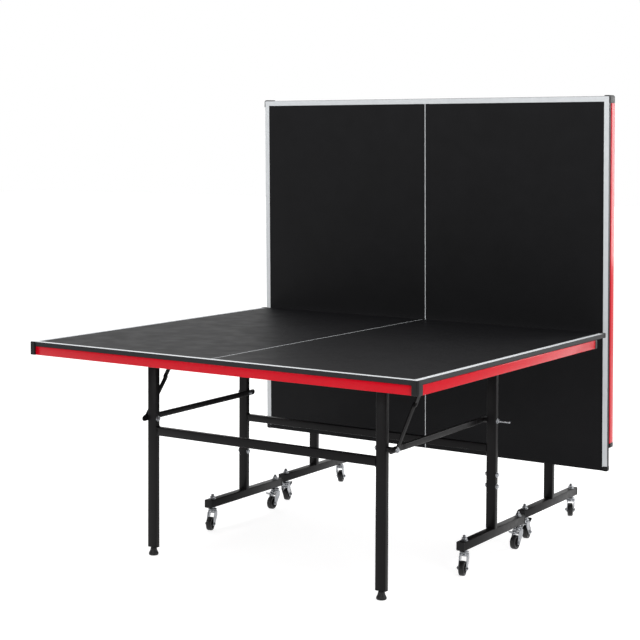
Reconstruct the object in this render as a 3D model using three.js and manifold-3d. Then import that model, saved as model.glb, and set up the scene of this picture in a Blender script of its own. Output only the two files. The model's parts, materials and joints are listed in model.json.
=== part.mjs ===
// A folding table-tennis table on casters, in millimetres, +Z up.
// The two halves are the same trolley. The front one is down for play, and the rear one is
// rolled in against the net edge with its top folded upright. The net line runs along X.
// Each half is modelled lowered for play, with its net edge at y = 0 and its end at y = -length,
// and its hinged groups are then turned to where they stand.
import * as THREE from 'three';
import { mergeVertices } from 'three/addons/utils/BufferGeometryUtils.js';
import Module from 'manifold-3d';

const wasm = await Module();
wasm.setup();

// ---- driving dimensions ----
const BOARD = { width: 1525, length: 1370, thick: 15, top: 760 };
const RAIL = { height: 30, inset: { end: 2.5, side: -2.5 }, wall: 2, shelf: 18, lip: 10, netGap: 85 };
const CAP = { end: 19, side: 25, proud: 3.5, wall: 12, round: 8 };
const LEG = { x: 466, y: -1072, wide: 38, deep: 20, bottom: 28, barLow: 424, barHigh: 454 };
const POST = { spacing: 531.5, shift: 15, y: -470, wide: 36, deep: 20, barLow: 380, barHigh: 406 };
const TUBE_WALL = 1.5;
const STUB_SLACK = 1;
const POST_PIVOT = 720;
const LEG_PIVOT = 713;
const LINK_DROP = 231;
const TUBE_END = 12;
const LINK = { tall: 20, thick: 10, flat: 5, tail: 30, neck: 45, taper: 20 };
const STAY = { wide: 17, thick: 3.5, reach: 195 };
const FOOT_BAR = { size: 30, bottom: 84, inner: -233, outer: -699, stubTop: 330 };
const CASTER = { inset: 30, radius: 25, width: 20, trail: 22, axle: 3.5, nut: 6, stem: 6, stemTop: 132 };
const LEVER = { y: -4, z: 56, pin: 3.5 };
const LEVELLER = { radius: 17, base: 7, neck: 10, stem: 5, stemTop: 70 };
const STUD = 5;
const SLEEVE = 8;
const EAR = { thick: 3, radius: 12, margin: 24, plate: 3 };
const LONG_BOLT = { radius: 3.5, length: 49 };
const GAP = 0.3;

const FOLD = 91;
const ROLLED_IN = 409.3;
const FRONT_SWIVELS = { left_end: 17, right_end: 14, left_net: 3, right_net: 0 };
const REAR_SWIVELS = { left_end: 28, right_end: 20, left_net: 7, right_net: 15 };

const UNDERSIDE = BOARD.top - BOARD.thick;
const RAIL_BOTTOM = UNDERSIDE - RAIL.height;
const BAR_TOP = FOOT_BAR.bottom + FOOT_BAR.size;
const LEG_FACE = LEG.x + LEG.wide / 2;

// Pivots of one half: the post and leg on the top, the link on the leg and post, the stay on the top.
// P, Q, A and B are a parallelogram, so the legs stay upright as the top folds.
const P = { y: POST.y, z: POST_PIVOT };
const Q = { y: LEG.y, z: LEG_PIVOT };
const A = { y: Q.y, z: Q.z - LINK_DROP };
const B = { y: P.y, z: P.z - LINK_DROP };
const C = { y: Q.y + STAY.reach, z: Q.z };

const FINISHES = {
  board: { color: 0x2c2d2e, roughness: 0.55, metalness: 0 },
  red: { color: 0xd1121f, roughness: 0.35, metalness: 0.1 },
  black: { color: 0x232123, roughness: 0.4, metalness: 0.3 },
  plastic: { color: 0x161617, roughness: 0.5, metalness: 0 },
  zinc: { color: 0xb9babd, roughness: 0.35, metalness: 0.9 },
  tyre: { color: 0x141416, roughness: 0.6, metalness: 0 },
};

// ---- solids ----
function solid(geometry) {
  const bare = geometry.clone();
  bare.deleteAttribute('normal');
  bare.deleteAttribute('uv');
  const merged = mergeVertices(bare, 1e-4);
  const vertProperties = merged.attributes.position.array;
  const triVerts = new Uint32Array(merged.index.array);
  return new wasm.Manifold(new wasm.Mesh({ numProp: 3, vertProperties, triVerts }));
}

function surface(body) {
  const { vertProperties, triVerts } = body.getMesh();
  const geometry = new THREE.BufferGeometry();
  geometry.setAttribute('position', new THREE.BufferAttribute(vertProperties, 3));
  geometry.setIndex(new THREE.BufferAttribute(triVerts, 1));
  geometry.computeVertexNormals();
  return geometry;
}

function joined(...bodies) {
  return bodies.reduce((sum, body) => sum.add(body));
}

function block(x, y, z) {
  const [[x0, x1], [y0, y1], [z0, z1]] = [x, y, z].map((span) => [Math.min(...span), Math.max(...span)]);
  const box = new THREE.BoxGeometry(x1 - x0, y1 - y0, z1 - z0);
  return solid(box.translate((x0 + x1) / 2, (y0 + y1) / 2, (z0 + z1) / 2));
}

function rodX(radius, [x0, x1], { y, z }, sides = 12) {
  const rod = new THREE.CylinderGeometry(radius, radius, Math.abs(x1 - x0), sides);
  return solid(rod.rotateZ(Math.PI / 2).translate((x0 + x1) / 2, y, z));
}

function rodZ(radius, [z0, z1], x = 0, y = 0, sides = 12) {
  const rod = new THREE.CylinderGeometry(radius, radius, z1 - z0, sides);
  return solid(rod.rotateX(Math.PI / 2).translate(x, y, (z0 + z1) / 2));
}

// An outline drawn in Y and Z, given a thickness along X.
function plate(shape, x0, x1) {
  const extruded = new THREE.ExtrudeGeometry(shape, {
    depth: Math.abs(x1 - x0), bevelEnabled: false, curveSegments: 6,
  });
  const [X, Y, Z] = [[1, 0, 0], [0, 1, 0], [0, 0, 1]].map((axis) => new THREE.Vector3(...axis));
  extruded.applyMatrix4(new THREE.Matrix4().makeBasis(Y, Z, X));
  return solid(extruded.translate(Math.min(x0, x1), 0, 0));
}

// An outline drawn in X and Y, given a height along Z.
function slab(shape, z0, z1) {
  const extruded = new THREE.ExtrudeGeometry(shape, {
    depth: z1 - z0, bevelEnabled: false, curveSegments: 6,
  });
  return solid(extruded.translate(0, 0, z0));
}

// A bar outline with round ends, from one point to another, with a bolt hole at each of holes.
function barOutline(from, to, width, holes) {
  const along = Math.atan2(to.z - from.z, to.y - from.y);
  const shape = new THREE.Shape();
  shape.absarc(from.y, from.z, width / 2, along + Math.PI / 2, along + 1.5 * Math.PI, false);
  shape.absarc(to.y, to.z, width / 2, along - Math.PI / 2, along + Math.PI / 2, false);
  shape.closePath();
  for (const { y, z } of holes) {
    shape.holes.push(new THREE.Path().absarc(y, z, STUD + GAP, 0, 2 * Math.PI, true));
  }
  return shape;
}

function polygon(points) {
  return new THREE.Shape(points.map(([a, b]) => new THREE.Vector2(a, b)));
}

function turnedOnX(profile, sides, { y, z }) {
  const points = profile.map(([radius, along]) => new THREE.Vector2(radius, along));
  const lathe = new THREE.LatheGeometry(points, sides);
  return solid(lathe.rotateZ(-Math.PI / 2).rotateX(Math.PI / 2).translate(0, y, z));
}

function turnedOnZ(profile, sides) {
  const points = profile.map(([radius, along]) => new THREE.Vector2(radius, along));
  return solid(new THREE.LatheGeometry(points, sides).rotateX(Math.PI / 2));
}

function add(parent, name, body, finish) {
  const mesh = new THREE.Mesh(surface(body), new THREE.MeshStandardMaterial(FINISHES[finish]));
  mesh.name = name;
  parent.add(mesh);
}

// ---- the top ----
function board() {
  return block([-BOARD.width / 2, BOARD.width / 2], [-BOARD.length, 0], [UNDERSIDE, BOARD.top]);
}

// The rail's section: a web with a shelf screwed under the board and a short lip at the bottom.
function railSection(top) {
  const { height, wall, shelf, lip } = RAIL;
  return polygon([
    [0, top], [shelf, top], [shelf, top - wall], [wall, top - wall],
    [wall, top - height + wall], [lip, top - height + wall], [lip, top - height], [0, top - height],
  ]);
}

function endRail() {
  const half = BOARD.width / 2 - CAP.end - GAP;
  const rail = plate(railSection(UNDERSIDE - GAP), -half, half);
  return rail.translate(0, -BOARD.length + RAIL.inset.end, 0);
}

function sideRail(side) {
  const length = BOARD.length - CAP.side - GAP - RAIL.netGap;
  const rail = plate(railSection(UNDERSIDE - GAP), 0, length).rotate(0, 0, side * 90);
  const along = side > 0 ? -BOARD.length + CAP.side + GAP : -RAIL.netGap;
  return rail.translate(side * (BOARD.width / 2 - RAIL.inset.side), along, 0);
}

function cornerCap(side) {
  const out = BOARD.width / 2 + CAP.proud;
  const end = -BOARD.length - CAP.proud;
  const inner = BOARD.width / 2 - CAP.end;
  const shape = new THREE.Shape();
  shape.moveTo(inner, end);
  shape.lineTo(out - CAP.round, end);
  shape.absarc(out - CAP.round, end + CAP.round, CAP.round, -Math.PI / 2, 0, false);
  shape.lineTo(out, -BOARD.length + CAP.side);
  shape.lineTo(inner, -BOARD.length + CAP.side);
  shape.closePath();
  const covered = [BOARD.width / 2 + GAP, -BOARD.length - GAP];
  const seat = block([0, covered[0]], [covered[1], 0], [UNDERSIDE - GAP, BOARD.top + 1]);
  const hollow = block([0, out - CAP.wall], [end + CAP.wall, 0], [RAIL_BOTTOM - 1, UNDERSIDE]);
  const cap = slab(shape, RAIL_BOTTOM, BOARD.top).subtract(seat).subtract(hollow);
  return side > 0 ? cap : cap.mirror([1, 0, 0]);
}

// ---- side layout: where each flat part stands along X, out from the leg's outer face ----
function sideLayout(side) {
  const post = side * POST.spacing + POST.shift;
  const postIn = Math.abs(post) - POST.wide / 2;
  const linkIn = side > 0 ? LEG_FACE + 19.5 : LEG_FACE + 1;
  const linkMiddle = linkIn + LINK.thick / 2;
  const lowerStay = linkIn + LINK.thick + 2.5;
  const upperStay = lowerStay + STAY.thick + 1;
  const stayEar = upperStay + STAY.thick + 1.5;
  const postOut = postIn + POST.wide;
  return { side, post, postIn, postOut, linkIn, linkMiddle, lowerStay, upperStay, stayEar };
}

function ear({ y, z }, side, x, half) {
  const outline = new THREE.Shape();
  outline.moveTo(y + half, UNDERSIDE - 1);
  outline.lineTo(y - half, UNDERSIDE - 1);
  outline.absarc(y, z, EAR.radius, Math.PI, 2 * Math.PI, false);
  outline.closePath();
  return plate(outline, side * x, side * (x + EAR.thick));
}

// The steel bracket under the board that holds the post, leg and stay pivots.
function hingeRail(layout) {
  const { side, postIn, postOut, upperStay, stayEar } = layout;
  const { margin } = EAR;
  const z = [UNDERSIDE - EAR.plate - GAP, UNDERSIDE - GAP];
  const postEar = postOut + 1;
  const legEar = LEG.x - LEG.wide / 2 - 5.5;
  const strip = block([side * stayEar, side * (stayEar + 30)], [Q.y - margin, P.y + margin], z);
  const atPost = block([side * stayEar, side * (postEar + EAR.thick)], [P.y - margin, P.y + margin], z);
  const atLeg = block([side * legEar, side * (stayEar + 30)], [Q.y - margin, Q.y + margin], z);
  return joined(
    strip, atPost, atLeg,
    ear(P, side, postEar, 20),
    ear(Q, side, legEar, 20),
    ear(C, side, stayEar, 16),
    rodX(STUD, [side * (postIn - 2.2), side * postEar + side], P),
    rodX(STUD, [side * (legEar + 1), side * (LEG_FACE + 2.5)], Q),
    rodX(STUD, [side * (upperStay - 0.6), side * (stayEar + 1)], C),
  ).intersect(block([-BOARD.width, BOARD.width], [-BOARD.length, 0], [0, UNDERSIDE - GAP]));
}

// ---- the frames ----
function tubeZ(x, y, wide, deep, z) {
  return block([x - wide / 2, x + wide / 2], [y - deep / 2, y + deep / 2], z);
}

// Two uprights joined by a crossbar, hollow right through, open at the bottom.
function ladder({ left, right, y, wide, deep, bottom, top, barLow, barHigh }) {
  const w = TUBE_WALL;
  const outer = joined(
    tubeZ(left, y, wide, deep, [bottom, top]),
    tubeZ(right, y, wide, deep, [bottom, top]),
    block([left, right], [y - deep / 2, y + deep / 2], [barLow, barHigh]),
  );
  const inside = joined(
    tubeZ(left, y, wide - 2 * w, deep - 2 * w, [bottom - 1, top - w]),
    tubeZ(right, y, wide - 2 * w, deep - 2 * w, [bottom - 1, top - w]),
    block([left, right], [y - deep / 2 + w, y + deep / 2 - w], [barLow + w, barHigh - w]),
  );
  return outer.subtract(inside);
}

function legFrame(layouts) {
  const { x, y, wide, deep, bottom, barLow, barHigh } = LEG;
  const top = Q.z + TUBE_END;
  let frame = ladder({ left: -x, right: x, y, wide, deep, bottom, top, barLow, barHigh });
  for (const { side, linkIn, linkMiddle, lowerStay } of layouts) {
    frame = frame.subtract(rodX(STUD + GAP, [side * (x - wide), side * (x + wide)], Q));
    frame = frame.add(rodX(STUD, [side * (LEG_FACE - 1), side * (lowerStay + STAY.thick + 0.4)], A));
    const sleeve = linkMiddle - LINK.flat / 2 - 1.5;
    frame = frame.add(rodX(SLEEVE, [side * (LEG_FACE - 1), side * Math.max(sleeve, linkIn)], A));
  }
  return frame;
}

function postFrame(layouts) {
  const { y, wide, deep, barLow, barHigh } = POST;
  const [left, right] = layouts.map(({ post }) => post);
  const [bottom, top] = [BAR_TOP + GAP, P.z + TUBE_END];
  let frame = ladder({ left, right, y, wide, deep, bottom, top, barLow, barHigh });
  for (const { side, postIn, postOut, linkMiddle } of layouts) {
    frame = frame.subtract(rodX(STUD + GAP, [side * (postIn - 5), side * (postOut + 5)], P));
    frame = frame.add(rodX(STUD, [side * (linkMiddle - LINK.flat / 2 - 1), side * (postIn + 1)], B));
    frame = frame.add(rodX(SLEEVE, [side * (linkMiddle + LINK.flat / 2 + 1.5), side * (postIn + 1)], B));
  }
  const boltStart = layouts[1].postOut;
  return frame.add(rodX(LONG_BOLT.radius, [boltStart - 1, boltStart + LONG_BOLT.length], B));
}

// The floor tube with the stub that the post is bolted over, both hollow, and two stem holes.
function footBar({ post }) {
  const { size, bottom, inner, outer, stubTop } = FOOT_BAR;
  const w = TUBE_WALL;
  const [wide, deep] = [POST.wide - 2 * w - STUB_SLACK, POST.deep - 2 * w - STUB_SLACK];
  const bore = size / 2 - w;
  const tube = block([post - size / 2, post + size / 2], [outer, inner], [bottom, BAR_TOP]);
  const stub = tubeZ(post, POST.y, wide, deep, [BAR_TOP - 1, stubTop]);
  let bar = tube.add(stub)
    .subtract(block([post - bore, post + bore], [outer - 1, inner + 1], [bottom + w, BAR_TOP - w]))
    .subtract(tubeZ(post, POST.y, wide - 2 * w, deep - 2 * w, [BAR_TOP - size / 2, stubTop + 1]));
  for (const y of [outer + CASTER.inset, inner - CASTER.inset]) {
    bar = bar.subtract(rodZ(CASTER.stem + GAP, [bottom - 1, BAR_TOP + 1], post, y));
  }
  return bar;
}

// ---- links and stays ----
// A tube bar whose ends are pressed flat and bolted to the leg and the post.
function link({ side, linkIn, linkMiddle }) {
  const { tall, thick, flat, tail, neck, taper } = LINK;
  const from = A.y - tail + tall / 2;
  const to = B.y + tail - tall / 2;
  const slope = (B.z - A.z) / (B.y - A.y);
  const at = (y) => ({ y, z: A.z + slope * (y - A.y) });
  const outline = barOutline(at(from), at(to), tall, [A, B]);
  const full = plate(outline, side * linkIn, side * (linkIn + thick));
  const edge = (half) => [
    [linkMiddle + half * flat / 2, from - tall], [linkMiddle + half * flat / 2, A.y + neck],
    [linkMiddle + half * thick / 2, A.y + neck + taper], [linkMiddle + half * thick / 2, B.y - neck - taper],
    [linkMiddle + half * flat / 2, B.y - neck], [linkMiddle + half * flat / 2, to + tall],
  ];
  const plan = polygon([...edge(1), ...edge(-1).reverse()]);
  const pressed = slab(plan, A.z - tall, B.z + tall);
  return full.intersect(side > 0 ? pressed : pressed.mirror([1, 0, 0]));
}

function turnAbout(point, pivot, degrees) {
  const angle = -THREE.MathUtils.degToRad(degrees);
  const [dy, dz] = [point.y - pivot.y, point.z - pivot.z];
  return {
    y: pivot.y + dy * Math.cos(angle) - dz * Math.sin(angle),
    z: pivot.z + dy * Math.sin(angle) + dz * Math.cos(angle),
  };
}

// Angle of the line from one point to another in the plane of the fold, outward from the net
// edge being 0 and up being 90.
function heading(from, to) {
  return THREE.MathUtils.radToDeg(Math.atan2(to.z - from.z, from.y - to.y));
}

// The two stay bars are straight in play and doubled back on each other when the top is folded.
const foldedA = turnAbout(A, Q, -FOLD);
const openReach = Math.hypot(A.y - C.y, A.z - C.z);
const foldedReach = Math.hypot(foldedA.y - C.y, foldedA.z - C.z);
const lowerLength = (openReach + foldedReach) / 2;
const upperLength = (openReach - foldedReach) / 2;
const lowerTurn = (heading(foldedA, C) + FOLD - heading(A, C)) / FOLD;
const upperTurn = (heading(foldedA, C) - heading(C, A)) / FOLD;
const knuckle = {
  y: A.y + (C.y - A.y) * lowerLength / openReach,
  z: A.z + (C.z - A.z) * lowerLength / openReach,
};

function stay(from, side, x) {
  return plate(barOutline(from, knuckle, STAY.wide, [from]), side * x, side * (x + STAY.thick));
}

// ---- feet and casters ----
function leveller(x) {
  const { radius, base, neck, stem, stemTop } = LEVELLER;
  const top = LEG.bottom - GAP;
  const profile = [
    [0, 0], [radius, 0], [radius, base], [neck, base + 7], [neck, top], [stem, top],
    [stem, stemTop], [0, stemTop],
  ];
  return turnedOnZ(profile, 16).translate(x, LEG.y, 0);
}

function casterFork() {
  const { radius, width, trail, stem, stemTop } = CASTER;
  const axle = { y: -trail, z: radius };
  const wallIn = width / 2 + 2;
  const wallOut = wallIn + 2.5;
  const crown = radius * 2 + 16;
  const cheek = new THREE.Shape();
  cheek.moveTo(14, crown);
  cheek.lineTo(-20, crown);
  cheek.absarc(axle.y, axle.z, 9, Math.PI * 0.9, Math.PI * 1.9, false);
  cheek.lineTo(14, crown - 12);
  cheek.closePath();
  return joined(
    plate(cheek, wallIn, wallOut),
    plate(cheek, -wallOut, -wallIn),
    block([-wallOut, wallOut], [-20, 14], [crown - 2.5, crown]),
    rodX(CASTER.axle, [-wallOut, wallOut], axle),
    rodX(CASTER.nut, [wallOut - 1, wallOut + 2], axle, 6),
    rodX(CASTER.nut, [-wallOut - 2, -wallOut + 1], axle, 6),
    turnedOnZ([
      [0, crown - 1], [17, crown - 1], [17, crown + 6], [10, crown + 10],
      [10, FOOT_BAR.bottom - GAP], [stem, FOOT_BAR.bottom - GAP], [stem, stemTop], [0, stemTop],
    ], 12),
  );
}

function casterWheel() {
  const { radius, width, trail } = CASTER;
  const half = width / 2;
  const bore = CASTER.axle + GAP;
  const profile = [
    [bore, -half - 1], [9, -half - 1], [radius - 3, -half], [radius, -half + 4],
    [radius, half - 4], [radius - 3, half], [9, half + 1], [bore, half + 1], [bore, -half - 1],
  ];
  return turnedOnX(profile, 24, { y: -trail, z: radius });
}

function brakeLever() {
  const { radius, width, trail } = CASTER;
  const half = width / 2 + 1;
  const arm = polygon([
    [-2, 53], [-30, 55.5], [-44, 60], [-52, 66], [-54, 69], [-51, 70.5], [-43, 64], [-29, 58.8], [-2, 59],
  ]);
  const shoe = block([-half + 2, half - 2], [-trail - 3, -trail + 3], [2 * radius + 4.6, 2 * radius + 8]);
  return joined(plate(arm, -half, half), rodX(LEVER.pin, [-half, half], LEVER), shoe);
}

// ---- assembly ----
// A group turned about the X line through pivot. What it holds is modelled lowered for play.
// A positive angle lifts what lies outward of the pivot.
function hinged(parent, pivot, degrees) {
  const turned = new THREE.Group();
  turned.position.set(0, pivot.y, pivot.z);
  turned.rotation.x = -THREE.MathUtils.degToRad(degrees);
  const inner = new THREE.Group();
  inner.position.set(0, -pivot.y, -pivot.z);
  turned.add(inner);
  parent.add(turned);
  return inner;
}

function addCaster(carriage, name, x, y, swivel, braked) {
  const caster = new THREE.Group();
  caster.position.set(x, y, 0);
  caster.rotation.z = THREE.MathUtils.degToRad(swivel);
  carriage.add(caster);
  add(caster, `${name}_caster_fork`, casterFork(), 'zinc');
  add(caster, `${name}_caster_wheel`, casterWheel(), 'tyre');
  if (braked) add(caster, `${name}_brake_lever`, brakeLever(), 'zinc');
}

function half(name, fold, swivels) {
  const carriage = new THREE.Group();
  const sides = [['left', sideLayout(-1)], ['right', sideLayout(1)]];
  const layouts = sides.map(([, layout]) => layout);
  const top = hinged(carriage, P, fold);
  const legs = hinged(top, Q, -fold);

  add(top, `${name}_board`, board(), 'board');
  add(top, `${name}_end_rail`, endRail(), 'red');
  add(carriage, `${name}_post_frame`, postFrame(layouts), 'black');
  add(legs, `${name}_leg_frame`, legFrame(layouts), 'black');

  for (const [word, layout] of sides) {
    const { side, post, lowerStay, upperStay } = layout;
    add(top, `${name}_${word}_side_rail`, sideRail(side), 'red');
    add(top, `${name}_${word}_corner_cap`, cornerCap(side), 'plastic');
    add(top, `${name}_${word}_hinge_rail`, hingeRail(layout), 'black');
    add(legs, `${name}_${word}_levelling_foot`, leveller(side * LEG.x), 'plastic');
    add(carriage, `${name}_${word}_foot_bar`, footBar(layout), 'black');
    add(hinged(carriage, B, fold), `${name}_${word}_link`, link(layout), 'black');
    const lower = stay(A, side, lowerStay);
    const upper = stay(C, side, upperStay);
    add(hinged(legs, A, lowerTurn * fold), `${name}_${word}_lower_stay`, lower, 'black');
    add(hinged(top, C, upperTurn * fold), `${name}_${word}_upper_stay`, upper, 'black');
    for (const [place, y, braked] of [
      ['end', FOOT_BAR.outer + CASTER.inset, false],
      ['net', FOOT_BAR.inner - CASTER.inset, true],
    ]) {
      addCaster(carriage, `${name}_${word}_${place}`, post, y, swivels[`${word}_${place}`], braked);
    }
  }
  return carriage;
}

const table = new THREE.Group();
table.name = 'table_tennis_table';
const front = half('front', 0, FRONT_SWIVELS);
const rear = half('rear', FOLD, REAR_SWIVELS);
rear.rotation.z = Math.PI;
rear.position.y = -ROLLED_IN;
table.add(front, rear);

// The origin is under the middle of the whole table, on the floor.
table.updateMatrixWorld(true);
const extent = new THREE.Box3().setFromObject(table, true);
table.position.y = -(extent.min.y + extent.max.y) / 2;
table.position.z = -extent.min.z;

export default table;
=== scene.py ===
# %% [markdown]
# # A folding table-tennis table
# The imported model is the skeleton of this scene: every tube, board and pivot is already at its real
# size and place. What follows gives each piece its finished shape and its finish, half by half.
# Both halves are the same trolley, so each piece is modelled once, lowered for play, and then
# placed where that half stands.

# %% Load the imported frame
import json
import math

import bmesh
import bpy
from mathutils import Matrix, Vector


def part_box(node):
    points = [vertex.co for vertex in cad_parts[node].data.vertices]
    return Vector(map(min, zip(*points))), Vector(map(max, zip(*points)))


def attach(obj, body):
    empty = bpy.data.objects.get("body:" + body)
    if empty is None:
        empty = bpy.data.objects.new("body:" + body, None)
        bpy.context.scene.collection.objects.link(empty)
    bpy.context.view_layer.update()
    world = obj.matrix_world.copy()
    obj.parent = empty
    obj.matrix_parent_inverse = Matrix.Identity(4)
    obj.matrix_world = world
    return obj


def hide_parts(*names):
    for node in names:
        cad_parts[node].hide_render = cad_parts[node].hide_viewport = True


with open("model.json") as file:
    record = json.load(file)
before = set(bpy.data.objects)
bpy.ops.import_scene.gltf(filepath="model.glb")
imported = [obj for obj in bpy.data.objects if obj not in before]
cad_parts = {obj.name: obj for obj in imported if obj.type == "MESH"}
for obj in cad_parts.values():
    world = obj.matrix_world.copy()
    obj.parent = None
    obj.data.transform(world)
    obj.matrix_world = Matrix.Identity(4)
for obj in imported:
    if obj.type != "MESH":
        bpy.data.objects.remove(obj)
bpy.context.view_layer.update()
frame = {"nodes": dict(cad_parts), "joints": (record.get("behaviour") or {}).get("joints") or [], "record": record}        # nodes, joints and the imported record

MM = 0.001

# %% [markdown]
# ## Where things are
# The net edge of the lowered board is the zero line of a half, as it is for a player. The joints of
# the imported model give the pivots, and the boxes of its nodes give the places of legs and posts.
# `standing` turns a piece modelled in the lowered half into its place in the row's frame.

# %% Pivots of one half, and the matrices that place each half
JOINTS = {joint["name"]: joint for joint in frame["joints"]}
RATIOS = {c["joint"]: c["ratio"] for c in frame["record"]["behaviour"]["couplings"]}
NET_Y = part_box("front_board")[1].y


def pivot(name):
    x, y, z = JOINTS[name]["pos_m"]
    return Vector((0, y - NET_Y, z))


POST_PIVOT = pivot("front_fold")
LEG_PIVOT = pivot("front_leg_swing")
LINK_AT_POST = pivot("front_left_link_swing")
LINK_AT_LEG = pivot("front_left_lower_stay_swing")
STAY_AT_TOP = pivot("front_left_upper_stay_swing")
FOLD = math.radians(JOINTS["rear_fold"]["range_deg"][1])


def about(point, angle):
    """A turn about the X line through point. A positive angle lifts the end away from the net."""
    return Matrix.Translation(point) @ Matrix.Rotation(-angle, 4, "X") @ Matrix.Translation(-point)


def half_place(half):
    """The lowered half, in the row's frame."""
    if half == "front":
        return Matrix.Translation((0, NET_Y, 0))
    rear_net_y = JOINTS["rear_fold"]["pos_m"][1] + POST_PIVOT.y
    return Matrix.Translation((0, rear_net_y, 0)) @ Matrix.Rotation(math.pi, 4, "Z")


def standing(half, part, side="left"):
    """Where a part of the half stands at rest, for a piece modelled with the half lowered."""
    base = half_place(half)
    if half == "front" or part == "carriage":
        return base
    top = about(POST_PIVOT, FOLD)
    legs = top @ about(LEG_PIVOT, -FOLD)
    turns = {
        "top": top,
        "legs": legs,
        "link": about(LINK_AT_POST, FOLD),
        "lower_stay": legs @ about(LINK_AT_LEG, RATIOS[f"rear_{side}_lower_stay_swing"] * FOLD),
        "upper_stay": top @ about(STAY_AT_TOP, RATIOS[f"rear_{side}_upper_stay_swing"] * FOLD),
    }
    return base @ turns[part]


def centre_x(node):
    low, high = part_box(node)
    return (low.x + high.x) / 2


POST_X = {"left": centre_x("front_left_foot_bar"), "right": centre_x("front_right_foot_bar")}
LEG_X = {"left": centre_x("front_left_levelling_foot"), "right": centre_x("front_right_levelling_foot")}
SIDES = {"left": -1, "right": 1}
HALVES = ("front", "rear")
print("posts", POST_X, "legs", LEG_X, "post pivot", POST_PIVOT, "leg pivot", LEG_PIVOT)

# %% [markdown]
# ## Mesh helpers
# Nearly everything on this table is a straight section, a turned shape or a stack of outlines. Three
# small builders cover them: `loft` skins a stack of closed outlines, `bar` runs one outline along a
# line with softened ends, and `turned` spins a profile. They write into a bmesh, so that one piece can
# be made of several closed shells, as a welded frame is.

# %% Outlines, lofts, bars and turned shapes
def rounded_rectangle(wide, deep, radius, steps=3):
    points = []
    for cx, cy, start in ((1, 1, 0), (-1, 1, 90), (-1, -1, 180), (1, -1, 270)):
        for i in range(steps + 1):
            angle = math.radians(start + 90 * i / steps)
            points.append((cx * (wide / 2 - radius) + radius * math.cos(angle),
                           cy * (deep / 2 - radius) + radius * math.sin(angle)))
    return points


def circle(radius, steps, turn=0.0):
    angles = [turn + 2 * math.pi * i / steps for i in range(steps)]
    return [(radius * math.cos(a), radius * math.sin(a)) for a in angles]


def loft(bm, rings, material=0):
    """Skins closed rings of points and closes both ends, facing out."""
    made = [[bm.verts.new(point) for point in ring] for ring in rings]
    count = len(made[0])
    faces = []
    for low, high in zip(made, made[1:]):
        for i in range(count):
            j = (i + 1) % count
            faces.append(bm.faces.new((low[i], low[j], high[j], high[i])))
    faces.append(bm.faces.new(list(reversed(made[0]))))
    faces.append(bm.faces.new(made[-1]))
    for face in faces:
        face.material_index = material
    bmesh.ops.recalc_face_normals(bm, faces=faces)
    return faces


def shrink(outline, by):
    """The outline pulled in towards its own middle, for a softened end."""
    xs, ys = [p[0] for p in outline], [p[1] for p in outline]
    cx, cy = (max(xs) + min(xs)) / 2, (max(ys) + min(ys)) / 2
    sx = 1 - by / max((max(xs) - min(xs)) / 2, 1e-9)
    sy = 1 - by / max((max(ys) - min(ys)) / 2, 1e-9)
    return [(cx + (x - cx) * sx, cy + (y - cy) * sy) for x, y in outline]


def bar(bm, outline, start, end, across, soft=0.6 * MM, material=0):
    """An outline run from start to end. Its first axis lies along across, and its ends are eased."""
    start, end, across = Vector(start), Vector(end), Vector(across).normalized()
    along = (end - start).normalized()
    second = along.cross(across)
    length = (end - start).length
    stations = ((0, soft), (soft * 0.4, soft * 0.3), (soft, 0), (length - soft, 0),
                (length - soft * 0.4, soft * 0.3), (length, soft))
    rings = []
    for travel, ease in stations:
        centre = start + along * travel
        rings.append([centre + across * a + second * b for a, b in shrink(outline, ease)])
    return loft(bm, rings, material)


def turned(bm, profile, matrix, steps=24, material=0):
    """A profile of (radius, height) pairs spun about Z and then placed by matrix."""
    rings, poles, faces = [], {}, []
    for n, (radius, height) in enumerate(profile):
        if radius < 1e-7:
            poles[n] = bm.verts.new(matrix @ Vector((0, 0, height)))
            rings.append(None)
        else:
            rings.append([bm.verts.new(matrix @ Vector((x, y, height))) for x, y in circle(radius, steps)])
    for n in range(len(profile) - 1):
        low, high = rings[n], rings[n + 1]
        for i in range(steps):
            j = (i + 1) % steps
            if low and high:
                faces.append(bm.faces.new((low[i], low[j], high[j], high[i])))
            elif low:
                faces.append(bm.faces.new((low[i], low[j], poles[n + 1])))
            elif high:
                faces.append(bm.faces.new((poles[n], high[j], high[i])))
    for face in faces:
        face.material_index = material
    bmesh.ops.recalc_face_normals(bm, faces=faces)
    return faces


def along_x(point, facing=1):
    """Places a turned shape so that its Z runs along X, from point."""
    return Matrix.Translation(point) @ Matrix.Rotation(facing * math.pi / 2, 4, "Y")


def eased(bm, faces, width, segments=2, angle=30):
    """Softens the sharp edges of the given faces."""
    edges = {edge for face in faces for edge in face.edges
             if len(edge.link_faces) == 2 and edge.calc_face_angle() > math.radians(angle)}
    bmesh.ops.bevel(bm, geom=list(edges), offset=width, segments=segments, affect="EDGES",
                    profile=0.5, clamp_overlap=True)


def block(bm, x, y, z, soft=1 * MM, material=0):
    """A box from spans, with eased edges."""
    corners = [Vector((x[i], y[j], z[k])) for i in (0, 1) for j in (0, 1) for k in (0, 1)]
    order = ((0, 1, 3, 2), (4, 6, 7, 5), (0, 4, 5, 1), (2, 3, 7, 6), (0, 2, 6, 4), (1, 5, 7, 3))
    verts = [bm.verts.new(corner) for corner in corners]
    faces = [bm.faces.new([verts[i] for i in face]) for face in order]
    for face in faces:
        face.material_index = material
    bmesh.ops.recalc_face_normals(bm, faces=faces)
    eased(bm, faces, soft)


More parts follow.
